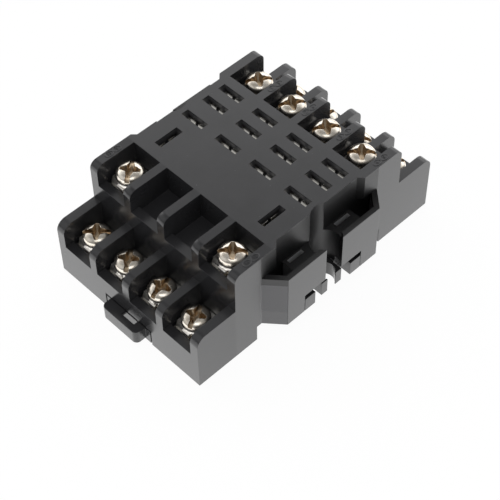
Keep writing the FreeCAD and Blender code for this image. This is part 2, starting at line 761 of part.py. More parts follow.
def make_terminal(name, x, screw_y, toward, plate_top, contact_y, base):
    """One stamped strip: screw plate, conductor and a forked contact."""
    body = new_body(name)
    place(body, x, 0, 0)
    lower = base.value < lower_plate.value
    turned = contact_y is s.row_coil
    screw_at = screw_y * -toward
    underside = plate_top - s.plate_thick
    half = s.plate_width / 2
    lip = screw_at - (s.screw_setback - s.sill_depth - s.run_slack) * toward
    if lower:
        inner = riser_y * -toward - (s.run_slack / 2) * toward
    else:
        inner = pit_y * -toward - (s.run_slack / 2) * toward
    y0, y1 = sorted_pair(lip, inner)
    add_boxes(body, "plate", [(-half, half, y0, y1)], underside, plate_top)

    # Conductor from the plate's inner end to the contact, narrower at a coil contact.
    run = s.run_width / 2
    run_end = contact_y - clip_half * toward
    if turned:
        run_end = contact_y - s.slot_len / 2
    if lower:
        drop0, drop1 = sorted_pair(inner, inner - s.plate_thick * toward)
        add_boxes(body, "drop", [(-run, run, drop0, drop1)], base, underside)
    y0, y1 = sorted_pair(inner, run_end)
    level = base if lower else underside
    add_boxes(body, "run", [(-run, run, y0, y1)], level, level + s.plate_thick)
    if turned:
        neck = (-clip_half, clip_half, run_end, contact_y - s.clip_width / 2)
        add_boxes(body, "neck", [neck], level, level + s.plate_thick)

    # Contact, edge on: across the socket, or along it for the coil.
    if turned:
        leaves = new_sketch(body, "leaves", "XZ_Plane", -contact_y)
    else:
        leaves = new_sketch(body, "leaves", "YZ_Plane")
    shift = 0 if turned else contact_y
    outline(leaves, [(across + shift, up) for across, up in clip_outline(base)])
    pad(body, leaves, s.clip_width, symmetric=True)
    slit_half = s.clip_slit / 2
    span = clip_half + s.clip_mouth
    if turned:
        slit = (-span, span, contact_y - slit_half, contact_y + slit_half)
    else:
        slit = (-slit_half, slit_half, contact_y - span, contact_y + span)
    cut_boxes(body, "slit", [slit], clip_top, clip_top - s.clip_slit_len)

    # Tapped hole for the screw.
    tapped = s.shank_dia / 2 + s.tap_gap
    prism(body, "Subtractive", "tapped", tapped, underside, plate_top, screw_at)


def make_clamp(name, x, y, toward, plate_top):
    """Clamp washer: flat top, two sloping feet, a notched tongue and a round collar."""
    body = new_body(name)
    place(body, x, y, plate_top)
    flat = s.clamp_flat / 2
    foot = flat + s.clamp_foot
    low = s.clamp_top - s.clamp_thick
    side_view = new_sketch(body, "side_view", "YZ_Plane")
    outline(side_view, [
        (-foot - s.clamp_thick / 2, 0), (-foot + s.clamp_thick / 2, 0), (-flat, low),
        (flat, low), (foot - s.clamp_thick / 2, 0), (foot + s.clamp_thick / 2, 0),
        (flat, s.clamp_top), (-flat, s.clamp_top),
    ])
    pad(body, side_view, s.clamp_width, symmetric=True)
    prism(body, "Additive", "collar", s.collar_dia / 2, s.clamp_top, s.collar_top)

    # Notches beside the middle tongue, at the side where the wire enters.
    tip = -toward
    edge = (foot + s.clamp_thick) * tip
    notches = []
    for side in (1, -1):
        across = sorted_pair(s.tongue_half * side, (s.tongue_half + s.tongue_gap) * side)
        notches.append(across + sorted_pair(edge, edge - s.tongue_cut * tip))
    cut_boxes(body, "notches", notches, s.clamp_top, 0)
    prism(body, "Subtractive", "hole", s.clamp_hole / 2, 0, s.collar_top)


def make_screw(name, x, y, plate_top):
    """Pan-head terminal screw with a straight slot, its head's underside at height 0."""
    body = new_body(name)
    place(body, x, y, plate_top + s.collar_top)
    radius = s.head_dia / 2
    prism(body, "Additive", "shank", s.shank_dia / 2, -s.shank_len, 0)
    head = prism(body, "Additive", "head", radius, 0, s.head_height)
    doc.recompute()

    def top_edge(edge):
        box = edge.BoundBox
        return near(box.ZMin, s.head_height) and near(box.ZMax, s.head_height)

    chamfer(body, head, edges_at(head, top_edge), s.head_height - s.head_rim)
    half = s.slit_wide / 2
    slit = (-half, half, -radius, radius)
    cut_boxes(body, "slit", [slit], s.head_height, s.head_height - s.slit_depth)


make_housing()
make_cover()
make_latch()

groups = [("upper", upper_terminals(), upper_plate), ("lower", lower_terminals(), lower_plate)]
for tier, places, plate_top in groups:
    for number, (x, y, toward) in enumerate(places, start=1):
        back = toward < 0
        tag = "%s_%d" % (tier, number)
        if tier == "upper":
            contact = s.row_far if back else s.row_coil
            base = s.coil_clip_base
        else:
            contact = s.row_mid if back else s.row_near
            base = s.low_run
        screw_y = upper_screw_y if tier == "upper" else lower_screw_y
        make_terminal("terminal_" + tag, x, screw_y, toward, plate_top, contact, base)
        make_clamp("clamp_" + tag, x, y, toward, plate_top)
        make_screw("screw_" + tag, x, y, plate_top)

doc.recompute()

for item in doc.Objects:
    faults = [word for word in item.State if word in ("Invalid", "Error")]
    if faults:
        raise RuntimeError("%s: %s" % (item.Label, faults))

pieces = [item for item in doc.Objects if item.isDerivedFrom("PartDesign::Body")]
for piece in pieces:
    if piece.Shape.isNull() or not piece.Shape.isValid():
        raise RuntimeError("%s has no sound shape" % piece.Label)
    if len(piece.Shape.Solids) != 1:
        raise RuntimeError("%s has %d solids" % (piece.Label, len(piece.Shape.Solids)))
    for step in piece.Group:
        cuts = step.TypeId in ("PartDesign::Pocket", "PartDesign::SubtractivePrism")
        if cuts and step.Shape.Volume > step.BaseFeature.Shape.Volume - 0.001:
            raise RuntimeError("%s cuts nothing" % step.Label)

os.makedirs("parts", exist_ok=True)
for piece in pieces:
    piece.Shape.exportStep("parts/%s.step" % piece.Label)
    box = piece.Shape.BoundBox
    print(
        "%-22s %8.1f mm3  X %6.2f..%6.2f  Y %6.2f..%6.2f  Z %5.2f..%5.2f"
        % (
            piece.Label, piece.Shape.Volume, box.XMin, box.XMax,
            box.YMin, box.YMax, box.ZMin, box.ZMax,
        )
    )
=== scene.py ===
import math

import bmesh
import bpy
from mathutils import Matrix, Vector


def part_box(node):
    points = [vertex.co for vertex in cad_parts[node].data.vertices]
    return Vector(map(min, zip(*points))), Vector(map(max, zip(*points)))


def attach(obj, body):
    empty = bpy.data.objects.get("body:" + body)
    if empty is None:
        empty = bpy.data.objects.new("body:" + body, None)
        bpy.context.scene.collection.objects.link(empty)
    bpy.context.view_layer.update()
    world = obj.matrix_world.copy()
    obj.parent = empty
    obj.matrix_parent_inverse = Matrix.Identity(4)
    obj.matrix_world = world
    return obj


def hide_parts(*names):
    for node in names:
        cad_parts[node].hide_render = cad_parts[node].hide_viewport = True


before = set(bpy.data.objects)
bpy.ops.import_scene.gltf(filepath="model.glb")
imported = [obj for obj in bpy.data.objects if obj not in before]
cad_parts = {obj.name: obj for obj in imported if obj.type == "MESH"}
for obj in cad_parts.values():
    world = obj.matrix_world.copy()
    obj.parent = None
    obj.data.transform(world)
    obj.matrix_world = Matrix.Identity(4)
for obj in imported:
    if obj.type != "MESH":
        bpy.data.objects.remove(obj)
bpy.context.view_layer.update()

# The relay socket: black mouldings, nickel-plated screws and washers, plated contacts.
# Lengths are in metres, written as a number times MM.
MM = 0.001
# The latch's tab stands out in front, so the housing's middle lies this far back.
MIDDLE_Y = 1.35 * MM

# Camera that took the reference view, worked out for an image of 500 pixels.
IMAGE_PIXELS = 500
FOCAL_PIXELS = 1442.92
SENSOR_MM = 36.0
CAMERA_PLACE = (144.42 * MM, -136.95 * MM, 241.54 * MM)
CAMERA_AZIMUTH = math.radians(46.1021)
CAMERA_ELEVATION = math.radians(50.9687)
CAMERA_ROLL = math.radians(-0.7728)

SCREW_HEAD = 6.1 * MM
SCREW_HEAD_HEIGHT = 2.2 * MM
SCREW_RIM = 0.8 * MM
SCREW_CROWN_POWER = 0.7
SCREW_SHANK = 3.5 * MM
SCREW_LENGTH = 5.6 * MM
SCREW_PITCH = 0.6 * MM
SCREW_EDGE = 0.12 * MM
CORE_INSET = 0.3 * MM
HEAD_SIDES = 56
DOME_STEPS = 10
SLOT_WIDE = 1.0 * MM
SLOT_DEEP = 1.15 * MM
CROSS_SPAN = 4.8 * MM
CROSS_MIDDLE = 2.3 * MM
CROSS_TIP = 0.75 * MM
CROSS_TAPER = 0.5
CROSS_DEEP = 1.85 * MM
RIDGE_DEEP = 0.34 * MM
RIDGE_SHARE = 0.44
RIDGE_START = 0.4 * MM
RIDGE_TURNS = 7
RIDGE_STEPS = 20

WASHER_WIDE = 6.4 * MM
WASHER_TOP = 1.6 * MM
WASHER_THICK = 0.6 * MM
WASHER_FLAT = 2.2 * MM
WASHER_COLLAR = 2.95 * MM
WASHER_HOLE = 1.95 * MM
COLLAR_TOP = 2.4 * MM
TONGUE_HALF = 0.95 * MM
TONGUE_REACH = 0.9 * MM
TONGUE_DROP = 0.5 * MM
EAR_GAP = 0.4 * MM
EAR_REACH = 0.4 * MM
FOOT_REACH = 0.6 * MM
WASHER_LAP = 0.05 * MM
DISC_SIDES = 48

# The rounding of the screws' and washers' edges, and up to which angle faces shade as one.
METAL_ROUND = 0.07 * MM
METAL_SMOOTH = 40
PLASTIC_SMOOTH = 32


class Value:
    """One output of a shader node. Sums on it add the nodes that work them out."""

    def __init__(self, paint, socket):
        self.paint = paint
        self.socket = socket

    def sum(self, operation, first, second):
        inputs = {0: first, 1: second}
        return self.paint.node("Math", {"operation": operation}, inputs)

    def __add__(self, other):
        return self.sum("ADD", self, other)

    def __radd__(self, other):
        return self.sum("ADD", other, self)

    def __sub__(self, other):
        return self.sum("SUBTRACT", self, other)

    def __rsub__(self, other):
        return self.sum("SUBTRACT", other, self)

    def __mul__(self, other):
        return self.sum("MULTIPLY", self, other)

    def __rmul__(self, other):
        return self.sum("MULTIPLY", other, self)

    def __abs__(self):
        return self.paint.node("Math", {"operation": "ABSOLUTE"}, {0: self})

    def below(self, limit):
        return self.sum("LESS_THAN", self, limit)


class Paint:
    """The nodes of one material, or of the world."""

    def __init__(self, owner):
        self.owner = owner
        self.owner.use_nodes = True
        self.tree = owner.node_tree
        self.tree.nodes.clear()

    def node(self, kind, settings=None, inputs=None, output=0):
        made = self.tree.nodes.new("ShaderNode" + kind)
        for name, value in (settings or {}).items():
            if name == "stops":
                self.set_stops(made.color_ramp, value)
            else:
                setattr(made, name, value)
        for name, value in (inputs or {}).items():
            if isinstance(value, Value):
                self.tree.links.new(value.socket, made.inputs[name])
            else:
                made.inputs[name].default_value = value
        if output is None:
            return None
        return Value(self, made.outputs[output])

    @staticmethod
    def set_stops(ramp, stops):
        while len(ramp.elements) < len(stops):
            ramp.elements.new(0.5)
        for element, (place, grey) in zip(ramp.elements, stops):
            element.position = place
            element.color = (grey, grey, grey, 1)

    def place(self, scale=(1, 1, 1)):
        """Where a point lies on the piece, stretched by a scale for each axis."""
        spot = self.node("TexCoord", output="Object")
        return self.node("Mapping", inputs={"Vector": spot, "Scale": scale})

    def noise(self, spot, scale, detail=3.0, rough=0.55):
        inputs = {"Vector": spot, "Scale": scale, "Detail": detail, "Roughness": rough}
        return self.node("TexNoise", inputs=inputs)

    def ramp(self, value, stops):
        return self.node("ValToRGB", {"stops": stops}, {"Fac": value})

    def part(self, spot, axis):
        """One coordinate of a point."""
        return self.node("SeparateXYZ", inputs={0: spot}, output=axis)

    def blend(self, share, first, second):
        """A share of the way from the first colour, or a node's, to the second."""
        start = first if isinstance(first, Value) else first + (1,)
        inputs = {0: share, 6: start, 7: second + (1,)}
        return self.node("Mix", {"data_type": "RGBA"}, inputs, output=2)

    def bump(self, height, distance, strength=1.0, under=None):
        inputs = {"Height": height, "Distance": distance, "Strength": strength}
        if under is not None:
            inputs["Normal"] = under
        return self.node("Bump", inputs=inputs)

    def finish(self, **sockets):
        inputs = {}
        for name, value in sockets.items():
            inputs[name.replace("_", " ")] = value
        return self.surface(self.node("BsdfPrincipled", inputs=inputs))

    def surface(self, shader, kind="Material"):
        self.node("Output" + kind, inputs={"Surface": shader}, output=None)
        return self.owner


# How finely the patterns on the surfaces repeat: larger numbers are finer.
CLOUDS = 160.0
GRAIN = 5200.0
WAVES = 420.0
FLECKS = 1900.0
DRAWN = 900.0
PATCHES = 700.0
PITS = 3600.0
DUST = (0.06, 0.059, 0.056)
PLASTIC_IOR = 1.54

# The front walls' tops sag a little from where they leave the deck, and from where the
# lower ones leave the block: how far each would drop at its first slope, and where its sag
# starts and ends in Y. The slope eases, so each drops less by the share SAG_EASE.
UPPER_SAG = (0.5 * MM, MIDDLE_Y - 13.7 * MM, MIDDLE_Y - 23.9 * MM)
LOWER_SAG = (0.65 * MM, MIDDLE_Y - 23.9 * MM, MIDDLE_Y - 34.2 * MM)
SAG_EASE = 0.4

# Zones of the housing painted with light or shade of their own: painted light on the walls of
# the contact slots, the wells and the spring slots, and painted shade in the pockets. Each
# gives the least and the greatest distance, in millimetres, across from the middle, along
# from it, and up from the bottom.
CONTACT_SLOTS = ((0.0, 19.5), (0.0, 13.2), (12.0, 25.15))
POCKETS = ((19.1, 25.1), (0.0, 16.8), (8.5, 25.3))
WELLS = ((20.3, 25.1), (9.4, 17.0), (4.4, 17.0))
SPRING_SLOTS = ((20.25, 21.35), (4.6, 8.9), (11.0, 17.0))
# Each zone's colour: lighter than the plastic as painted light, darker in the pockets as
# painted shade.
ZONE_PAINTED_LIGHT_AND_SHADE = [
    (CONTACT_SLOTS, (0.085, 0.085, 0.09)),
    (POCKETS, (0.008, 0.008, 0.0085)),
    (WELLS, (0.12, 0.12, 0.126)),
    (SPRING_SLOTS, (0.45, 0.45, 0.46)),
]
POCKET_ROUGH = 0.22

# How steeply the contact leaves' tips spread where a blade enters, as a slope. It is left
# off the coil's two contacts, which stand in front of this place in Y.
LEAD_IN = 2.0
COIL_END = MIDDLE_Y - 3 * MM


def wall_sag(paint, spot):
    """How far the wall tops have dropped, steepest where each sag starts."""
    along = paint.part(spot, "Y")
    drop = 0.0
    for depth, start, end in (UPPER_SAG, LOWER_SAG):
        inputs = {"Value": along, "From Min": start, "From Max": end}
        share = paint.node("MapRange", inputs=inputs)
        drop = drop + share * (share * SAG_EASE - 1.0) * (depth / MM)
    return drop


def within(paint, spot, zone):
    """1 in a zone, which both sides and both ends have, and 0 elsewhere."""
    share = 1.0
    for axis, middle, (near, far) in zip("XYZ", (0.0, MIDDLE_Y, 0.0), zone):
        away = abs(paint.part(spot, axis) - middle)
        share = share * (away.below(far * MM) * (1.0 - away.below(near * MM)))
    return share


def moulded_plastic(name, shade, gloss, is_housing=False):
    """Black moulded plastic: fine tool texture, cloudy gloss and a little dust. On the
    housing, painted light in its slots and wells and painted shade in its pockets.
    """
    paint = Paint(bpy.data.materials.new(name))
    spot = paint.place()
    clouds = paint.noise(spot, CLOUDS, 4.0)
    grain = paint.noise(spot, GRAIN, 3.0, 0.6)
    waves = paint.noise(spot, WAVES, 2.0)
    flecks = paint.noise(spot, FLECKS, 2.0, 0.4)
    dust = paint.ramp(flecks, [(0.72, 0.0), (0.8, 1.0)])
    # Both shades lean a little to blue.
    dark = (shade * 0.8, shade * 0.8, shade * 0.86)
    pale = (shade * 1.25, shade * 1.25, shade * 1.34)
    colour = paint.blend(dust * 0.1, paint.blend(clouds, dark, pale), DUST)
    rough = clouds * 0.12 + grain * 0.05 + (gloss - 0.08) + dust * 0.1
    coarse = paint.bump(waves, 0.012 * MM, 0.4)
    fine = paint.bump(grain, 0.004 * MM, 0.6, coarse)
    if is_housing:
        fine = paint.bump(wall_sag(paint, spot), MM, 1.0, fine)
        rough = rough + within(paint, spot, POCKETS) * POCKET_ROUGH
        # Painted light on the slot, well and spring-slot walls and painted shade in the
        # pockets, as flat colours.
        for zone, painted_zone_shade in ZONE_PAINTED_LIGHT_AND_SHADE:
            colour = paint.blend(within(paint, spot, zone), colour, painted_zone_shade)
    return paint.finish(
        Base_Color=colour, Roughness=rough, Normal=fine, IOR=PLASTIC_IOR, Metallic=0.0,
    )


def plated_metal(name, pale, dark, gloss, drawn_along, leads_in=False):
    """Nickel plate over steel or brass: drawn marks, small dents, uneven tarnish."""
    paint = Paint(bpy.data.materials.new(name))
    spot = paint.place()
    drawn = paint.noise(paint.place(drawn_along), DRAWN, 4.0, 0.65)
    patches = paint.noise(spot, PATCHES, 3.0)
    pits = paint.noise(spot, PITS, 3.0, 0.5)
    tarnish = paint.ramp(patches, [(0.42, 0.0), (0.72, 1.0)])
    colour = paint.blend(tarnish * 0.55 + drawn * 0.25, pale, dark)
    rough = drawn * 0.16 + patches * 0.12 + (gloss - 0.14)
    coarse = paint.bump(patches, 0.03 * MM, 0.35)
    fine = paint.bump(pits + drawn * 1.5, 0.008 * MM, 0.6, coarse)
    if leads_in:
        is_behind_coil = 1.0 - paint.part(spot, "Y").below(COIL_END)
        tips = within(paint, spot, CONTACT_SLOTS) * is_behind_coil
        flare = paint.part(spot, "Z") * tips * (-LEAD_IN / MM)
        fine = paint.bump(flare, MM, 1.0, fine)
    return paint.finish(Base_Color=colour, Roughness=rough, Normal=fine, Metallic=1.0)


housing_black = moulded_plastic("housing_black", 0.031, 0.2, True)
cover_black = moulded_plastic("cover_black", 0.028, 0.24)
latch_black = moulded_plastic("latch_black", 0.028, 0.22)
screw_nickel = plated_metal(
    "screw_nickel", (0.82, 0.77, 0.69), (0.6, 0.52, 0.42), 0.24, (1, 1, 1),
)
# The screws' recess: the same nickel, painted darker and browner as painted shade in the slot
# and cross.
recess_nickel_painted_shade = plated_metal(
    "recess_nickel_painted_shade", (0.52, 0.41, 0.29), (0.2, 0.14, 0.08), 0.24, (1, 1, 1),
)
washer_nickel = plated_metal(
    "washer_nickel", (0.9, 0.87, 0.82), (0.76, 0.71, 0.64), 0.3, (0.15, 3, 1),
)
contact_plate = plated_metal(
    "contact_plate", (0.93, 0.91, 0.86), (0.8, 0.76, 0.68), 0.16, (3, 0.15, 1), True,
)


def new_piece(name, mesh_maker, material):
    """A piece at the origin whose mesh is made by a bmesh function."""
    bm = bmesh.new()
    mesh_maker(bm)
    mesh = bpy.data.meshes.new(name)
    bm.to_mesh(mesh)
    bm.free()
    piece = bpy.data.objects.new(name, mesh)
    bpy.context.scene.collection.objects.link(piece)
    mesh.materials.append(material)
    return piece


def applied_mesh(piece, name):
    """The piece's mesh with its modifiers worked in."""
    bpy.context.view_layer.update()
    graph = bpy.context.evaluated_depsgraph_get()
    mesh = bpy.data.meshes.new_from_object(piece.evaluated_get(graph))
    mesh.name = name
    return mesh


def smooth_by_angle(mesh, degrees):
    """Rounds the shading over gentle edges and keeps the sharp ones."""
    for face in mesh.polygons:
        face.use_smooth = True
    mesh.set_sharp_from_angle(angle=math.radians(degrees))


def turn_profile(bm, profile, steps):
    """Turns (radius, height) points round Z into a closed skin."""
    points = [bm.verts.new((radius, 0, height)) for radius, height in profile]
    lines = [bm.edges.new(pair) for pair in zip(points, points[1:])]
    bmesh.ops.spin(
        bm, geom=points + lines, axis=(0, 0, 1), cent=(0, 0, 0), dvec=(0, 0, 0),
        angle=math.tau, steps=steps, use_merge=True, use_duplicate=False,
    )
    bmesh.ops.remove_doubles(bm, verts=bm.verts, dist=0.001 * MM)
    bmesh.ops.recalc_face_normals(bm, faces=bm.faces)


def screw_body(bm):
    """Pan head on a core, before the recess is cut."""
    head = SCREW_HEAD / 2
    core = SCREW_SHANK / 2 - CORE_INSET
    edge = SCREW_EDGE
    profile = [
        (0, -SCREW_LENGTH), (core - edge, -SCREW_LENGTH), (core, edge - SCREW_LENGTH),
        (core, 0), (head - edge, 0), (head, edge), (head, SCREW_RIM),
    ]
    crown = SCREW_HEAD_HEIGHT - SCREW_RIM
    for step in range(1, DOME_STEPS):
        angle = math.radians(90 * step / DOME_STEPS)
        profile.append((
            head * math.cos(angle) ** SCREW_CROWN_POWER,
            SCREW_RIM + crown * math.sin(angle) ** SCREW_CROWN_POWER,
        ))
    profile.append((0, SCREW_HEAD_HEIGHT))
    turn_profile(bm, profile, HEAD_SIDES)


def slot_cutter(bm):
    """The straight slot, longer and taller than what it cuts out of the head."""
    bmesh.ops.create_cube(bm, size=1.0)
    tall = 2 * MM
    bmesh.ops.scale(bm, verts=bm.verts, vec=(SCREW_HEAD * 1.3, SLOT_WIDE, tall))
    lift = SCREW_HEAD_HEIGHT - SLOT_DEEP + tall / 2
    bmesh.ops.translate(bm, verts=bm.verts, vec=(0, 0, lift))


def cross_cutter(bm):
    """Two opposite arms of the recess: wide in the middle, narrow at the tips and below."""
    bmesh.ops.create_cube(bm, size=1.0)
    everything = bm.verts[:] + bm.edges[:] + bm.faces[:]
    bmesh.ops.bisect_plane(bm, geom=everything, plane_co=(0, 0, 0), plane_no=(0, 1, 0))
    top = SCREW_HEAD_HEIGHT + 0.05 * MM
    low = SCREW_HEAD_HEIGHT - CROSS_DEEP
    for corner in bm.verts:
        upper = corner.co.z > 0
        share = 1.0 if upper else CROSS_TAPER
        width = CROSS_MIDDLE if abs(corner.co.y) < 0.1 else CROSS_TIP
        corner.co = Vector((
            corner.co.x * width * share, corner.co.y * CROSS_SPAN * share,
            top if upper else low,
        ))


def thread(bm):
    """The ridge that winds down the shank."""
    outer = SCREW_SHANK / 2
    root = outer - RIDGE_DEEP
    half = SCREW_PITCH * RIDGE_SHARE
    start = RIDGE_START - SCREW_LENGTH
    tooth = [(root, start - half), (outer, start), (root, start + half)]
    points = [bm.verts.new((radius, 0, height)) for radius, height in tooth]
    lines = [bm.edges.new((points[i], points[(i + 1) % 3])) for i in range(3)]
    bmesh.ops.spin(
        bm, geom=points + lines, axis=(0, 0, 1), cent=(0, 0, 0),
        dvec=(0, 0, SCREW_PITCH / RIDGE_STEPS), angle=math.tau * RIDGE_TURNS,
        steps=RIDGE_STEPS * RIDGE_TURNS, use_merge=False, use_duplicate=False,
    )
    bmesh.ops.holes_fill(bm, edges=bm.edges, sides=0)
    bmesh.ops.recalc_face_normals(bm, faces=bm.faces)


def add_modifier(piece, kind, **settings):
    made = piece.modifiers.new(kind.lower(), kind)
    for name, value in settings.items():
        setattr(made, name, value)
    return made


def combined(name, body, steps):
    """One mesh from a body and a list of (operation, piece), with rounded edges."""
    for operation, other in steps:
        add_modifier(
            body, "BOOLEAN", operation=operation, object=other, solver="EXACT",
            material_mode="TRANSFER",
        )
    add_modifier(
        body, "BEVEL", width=METAL_ROUND, segments=2, limit_method="ANGLE",
        angle_limit=math.radians(38),
    )
    mesh = applied_mesh(body, name)
    for spare in [body] + [other for operation, other in steps]:
        bpy.data.objects.remove(spare)
    return mesh


def make_screw_mesh():
    """The screw that all fourteen share, its axis on Z and its seat at height 0."""
    body = new_piece("screw_blank", screw_body, screw_nickel)
    # The cutters carry the recess's painted shade onto the faces they cut.
    cutters = [new_piece("slot_cutter", slot_cutter, recess_nickel_painted_shade)]
    for turn in (0, math.pi / 2):
        cutter = new_piece("cross_cutter", cross_cutter, recess_nickel_painted_shade)
        cutter.data.transform(Matrix.Rotation(turn, 4, "Z"))
        cutters.append(cutter)
    cuts = [("DIFFERENCE", cutter) for cutter in cutters]
    mesh = combined("screw_shared", body, cuts)
    ridge = new_piece("thread_blank", thread, screw_nickel)
    both = bmesh.new()
    both.from_mesh(mesh)
    both.from_mesh(ridge.data)
    both.to_mesh(mesh)
    both.free()
    bpy.data.objects.remove(ridge)
    smooth_by_angle(mesh, METAL_SMOOTH)
    return mesh


# How far each screw stands turned, seen from above, in degrees.
SCREW_TURNS = {
    "upper_1": 55, "upper_2": 56, "upper_3": 54, "upper_4": 43, "upper_5": 125, "upper_6": 44,
    "lower_1": 20, "lower_2": 75, "lower_3": 35, "lower_4": 58, "lower_5": 46,
    "lower_6": 127, "lower_7": 100, "lower_8": 113,
}
# How high the seats of the screw heads lie on each tier.
UPPER_SEAT = 22.0 * MM
LOWER_SEAT = 11.0 * MM


def make_screws():
    """A screw on each terminal, in place of its plainer solid."""
    shared = make_screw_mesh()
    for tag, degrees in SCREW_TURNS.items():
        node = "screw_" + tag
        low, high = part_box(node)
        seat = UPPER_SEAT if tag.startswith("upper") else LOWER_SEAT
        middle = ((low.x + high.x) / 2, (low.y + high.y) / 2, seat)
        mesh = shared.copy()
        turn = Matrix.Rotation(math.radians(degrees), 4, "Z")
        mesh.transform(Matrix.Translation(middle) @ turn)
        piece = bpy.data.objects.new("pan_" + node, mesh)
        bpy.context.scene.collection.objects.link(piece)
        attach(piece, node)
        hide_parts(node)


def slab(x0, x1, y0, y1, z0, z1, drop=0.0):
    """A maker of a slab whose end at y0 hangs lower by a drop."""
    def make(bm):
        bmesh.ops.create_cube(bm, size=1.0)
        for corner in bm.verts:
            at_end = corner.co.y < 0
            level = z1 if corner.co.z > 0 else z0
            corner.co = Vector((
                x1 if corner.co.x > 0 else x0,
                y0 if at_end else y1,
                level - drop if at_end else level,
            ))
    return make


def disc(radius, z0, z1):
    """A maker of an upright round bar."""
    def make(bm):
        bmesh.ops.create_cone(
            bm, cap_ends=True, segments=DISC_SIDES, radius1=radius, radius2=radius,
            depth=z1 - z0,
        )
        bmesh.ops.translate(bm, verts=bm.verts, vec=(0, 0, (z0 + z1) / 2))
    return make


def make_washer_mesh():
    """The clamp washer that all fourteen share, with its wire side towards -Y."""
    half = WASHER_WIDE / 2
    flat = WASHER_FLAT
    low = WASHER_TOP - WASHER_THICK
    lap = WASHER_LAP
    ear = TONGUE_HALF + EAR_GAP
    overlap = lap - flat
    shapes = [
        slab(-TONGUE_HALF, TONGUE_HALF, -flat - TONGUE_REACH, overlap, low, WASHER_TOP,
             TONGUE_DROP),
        slab(ear, half, -flat - EAR_REACH, overlap, low, WASHER_TOP, low),
        slab(-half, -ear, -flat - EAR_REACH, overlap, low, WASHER_TOP, low),
        disc(WASHER_COLLAR, WASHER_TOP - lap, COLLAR_TOP),
    ]
    body = new_piece("washer_blank", slab(-half, half, -flat, flat, low, WASHER_TOP),
                     washer_nickel)
    steps = []
    for number, shape in enumerate(shapes):
        part = new_piece("washer_part_%d" % number, shape, washer_nickel)
        steps.append(("UNION", part))
    foot = new_piece(
        "washer_foot", slab(-half, half, -flat - FOOT_REACH, overlap, low, WASHER_TOP, low),
        washer_nickel,
    )
    foot.data.transform(Matrix.Rotation(math.pi, 4, "Z"))
    steps.append(("UNION", foot))
    hole = new_piece("washer_hole", disc(WASHER_HOLE, -lap, COLLAR_TOP + lap), washer_nickel)
    steps.append(("DIFFERENCE", hole))
    mesh = combined("washer_shared", body, steps)
    smooth_by_angle(mesh, METAL_SMOOTH)
    return mesh


def make_washers():
    """A washer under each screw, its wire side towards the nearer end of the socket."""
    shared = make_washer_mesh()
    for tag in SCREW_TURNS:
        node = "clamp_" + tag
        low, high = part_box("screw_" + tag)
        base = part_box(node)[0].z
        at = Vector(((low.x + high.x) / 2, (low.y + high.y) / 2, base))
        mesh = shared.copy()
        turn = Matrix.Rotation(math.pi if at.y > 0 else 0.0, 4, "Z")
        mesh.transform(Matrix.Translation(at) @ turn)
        piece = bpy.data.objects.new("washer_" + tag, mesh)
        bpy.context.scene.collection.objects.link(piece)
        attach(piece, node)
        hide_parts(node)


# Two numbers stand in ovals on the wall top beside each upper screw: that terminal's and
# the one's below it. Each entry has the wall's middle across, in millimetres, the end of
# the socket (1 at the back, -1 in front), and the upper and the lower number.
WALL_NUMBERS = [
    (-10.0, 1, "5", "1"), (0.0, 1, "6", "2"), (10.0, 1, "7", "3"), (20.1, 1, "8", "4"),
    (-20.1, -1, "13", "9"), (20.1, -1, "14", "12"),
]
# How far from the housing's middle the lower and the upper terminal's numbers stand.
NUMBER_FROM_MIDDLE = (17.4 * MM, 19.5 * MM)
NUMBER_TALL = 1.0 * MM
NUMBER_PROUD = 0.1 * MM
OVAL_LONG = 1.9 * MM
OVAL_WIDE = 1.35 * MM
OVAL_LINE = 0.24 * MM
OVAL_SUNK = 0.02 * MM
OVAL_SIDES = 40
LINE_STEPS = 6
DECK_TOP = 25.4 * MM


def oval_ring(bm):
    """A raised half-round line in an oval, long in Y, with its foot in the wall top."""
    radius = OVAL_WIDE / 2
    half = OVAL_LINE / 2
    profile = [(radius - half, -OVAL_SUNK)]
    for step in range(LINE_STEPS + 1):
        angle = math.pi * step / LINE_STEPS
        profile.append((radius - half * math.cos(angle), NUMBER_PROUD * math.sin(angle)))
    profile.append((radius + half, -OVAL_SUNK))
    profile.append(profile[0])
    turn_profile(bm, profile, OVAL_SIDES)
    bmesh.ops.scale(bm, verts=bm.verts, vec=(1, OVAL_LONG / OVAL_WIDE, 1))


def digits_mesh(word):
    """Raised digits that read along Y, with their middle on the Z axis."""
    curve = bpy.data.curves.new("digits", "FONT")
    curve.body = word
    curve.size = NUMBER_TALL
    curve.align_x = "CENTER"
    curve.align_y = "CENTER"
    curve.extrude = NUMBER_PROUD
    lettering = bpy.data.objects.new("digits", curve)
    bpy.context.scene.collection.objects.link(lettering)
    mesh = applied_mesh(lettering, "digits_" + word)
    bpy.data.objects.remove(lettering)
    mesh.transform(Matrix.Rotation(math.pi / 2, 4, "Z"))
    return mesh


def make_numbers():
    """Each terminal's number, raised in its oval, on the wall tops beside the screws."""
    for wall, side, upper, lower in WALL_NUMBERS:
        for word, reach in zip((lower, upper), NUMBER_FROM_MIDDLE):
            name = "terminal_number_" + word
            piece = new_piece(name, oval_ring, housing_black)
            both = bmesh.new()
            both.from_mesh(piece.data)
            both.from_mesh(digits_mesh(word))
            bmesh.ops.remove_doubles(both, verts=both.verts, dist=0.0005 * MM)
            bmesh.ops.recalc_face_normals(both, faces=both.faces)
            both.to_mesh(piece.data)
            both.free()
            at = (wall * MM, MIDDLE_Y + side * reach, DECK_TOP)
            piece.data.transform(Matrix.Translation(at))
            smooth_by_angle(piece.data, METAL_SMOOTH)
            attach(piece, "housing")


